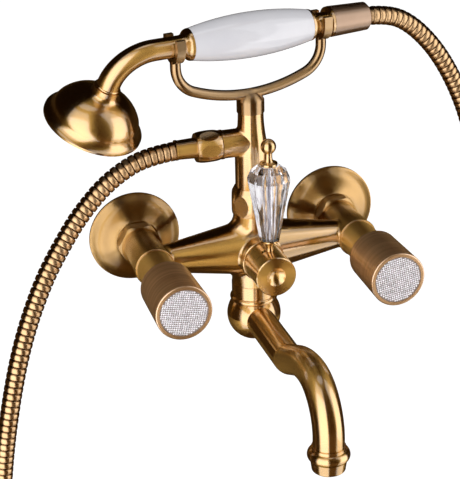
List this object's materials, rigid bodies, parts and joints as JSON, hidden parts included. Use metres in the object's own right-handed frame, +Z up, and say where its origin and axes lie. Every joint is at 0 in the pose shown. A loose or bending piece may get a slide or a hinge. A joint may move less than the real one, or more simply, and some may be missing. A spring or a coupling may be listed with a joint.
{
  "type": "bath shower mixer",
  "caption": "Wall-mounted bath shower mixer with swivel spout, crystal diverter lever, ribbed hose and porcelain-grip handset in a cradle.",
  "frame": {"origin": "midpoint between the two wall connections, in the plane of the finished wall", "axes": "+X to the right along the wall for someone facing it, -Y out from the wall to the bather, +Z up"},
  "size_m": [0.4097, 0.2318, 0.6327],
  "materials": {
    "antique_brass": "satin antique brass, finely brushed and lacquered",
    "beige_plastic": "beige brown satin moulding",
    "brushed_brass": "brown brushed brass with fine lines round the knob",
    "crystal": "clear cut glass with long flutes",
    "disc_ceramic": "white lapped ceramic",
    "grey_plastic": "dark grey moulded plastic",
    "hose_brass": "double-lock strip hose in antique brass",
    "plain_brass": "bare machined brass",
    "porcelain": "glazed white porcelain",
    "rhinestone": "mesh of small clear foiled stones",
    "rubber": "black rubber",
    "screw_steel": "plain stainless steel"
  },
  "bodies": {
    "mixer": {"bonnet_cold": "antique_brass", "bonnet_hot": "antique_brass", "column_clip": "screw_steel", "column_nut": "antique_brass", "column_washer": "rubber", "cradle": "antique_brass", "cradle_screw": "screw_steel", "diverter_cartridge": "plain_brass", "headwork_cold": "plain_brass", "headwork_hot": "plain_brass", "held_disc_cold": "disc_ceramic", "held_disc_hot": "disc_ceramic", "hose_left": "hose_brass", "hose_low": "hose_brass", "hose_nut": "antique_brass", "inlet_washers": "rubber", "mixer_body": "antique_brass", "outlet_ferrule": "antique_brass", "outlet_washer": "rubber", "rose_cold": "antique_brass", "rose_hot": "antique_brass", "s_union_cold": "plain_brass", "s_union_hot": "plain_brass", "shower_column": "antique_brass", "spout_collar": "antique_brass", "union_nut_cold": "antique_brass", "union_nut_hot": "antique_brass"},
    "knob_hot": {"knob_hot": "brushed_brass", "inlay_hot": "rhinestone", "knob_screw_hot": "screw_steel", "spindle_hot": "plain_brass", "turned_disc_hot": "disc_ceramic"},
    "knob_cold": {"knob_cold": "brushed_brass", "inlay_cold": "rhinestone", "knob_screw_cold": "screw_steel", "spindle_cold": "plain_brass", "turned_disc_cold": "disc_ceramic"},
    "lever": {"diverter_spindle": "plain_brass", "lever_hub": "antique_brass", "lever_grub_screw": "screw_steel", "lever_rod": "plain_brass", "lever_cup": "antique_brass", "lever_crystal": "crystal", "lever_finial": "antique_brass"},
    "spout": {"spout": "antique_brass", "spout_seal": "rubber", "spout_clip": "screw_steel", "outlet_ring": "antique_brass", "aerator": "grey_plastic"},
    "handset": {"handset_arm": "antique_brass", "shower_head": "antique_brass", "spray_face": "grey_plastic", "face_gasket": "rubber", "handle_core": "plain_brass", "porcelain_grip": "porcelain", "grip_cap": "antique_brass", "cone_nut": "beige_plastic", "handset_washer": "rubber", "handset_ferrule": "antique_brass", "hose_right": "hose_brass"}
  },
  "joints": [
    {"name": "knob_hot_turn", "type": "hinge", "parent": "mixer", "child": "knob_hot", "pos_m": [-0.075, -0.1, 0.008], "axis": [0, -1, 0], "range_deg": [0, 180]},
    {"name": "knob_cold_turn", "type": "hinge", "parent": "mixer", "child": "knob_cold", "pos_m": [0.075, -0.1, 0.008], "axis": [0, 1, 0], "range_deg": [0, 180]},
    {"name": "diverter_turn", "type": "hinge", "parent": "mixer", "child": "lever", "pos_m": [0, -0.085, 0.0066], "axis": [0, -1, 0], "range_deg": [-45, 45]},
    {"name": "spout_swivel", "type": "hinge", "parent": "mixer", "child": "spout", "pos_m": [0, -0.0472, -0.04], "axis": [0, 0, 1], "range_deg": [-100, 100]},
    {"name": "handset_lift", "type": "slide", "parent": "mixer", "child": "handset", "axis": [0, 0, 1], "range_m": [0, 0.06]}
  ]
}
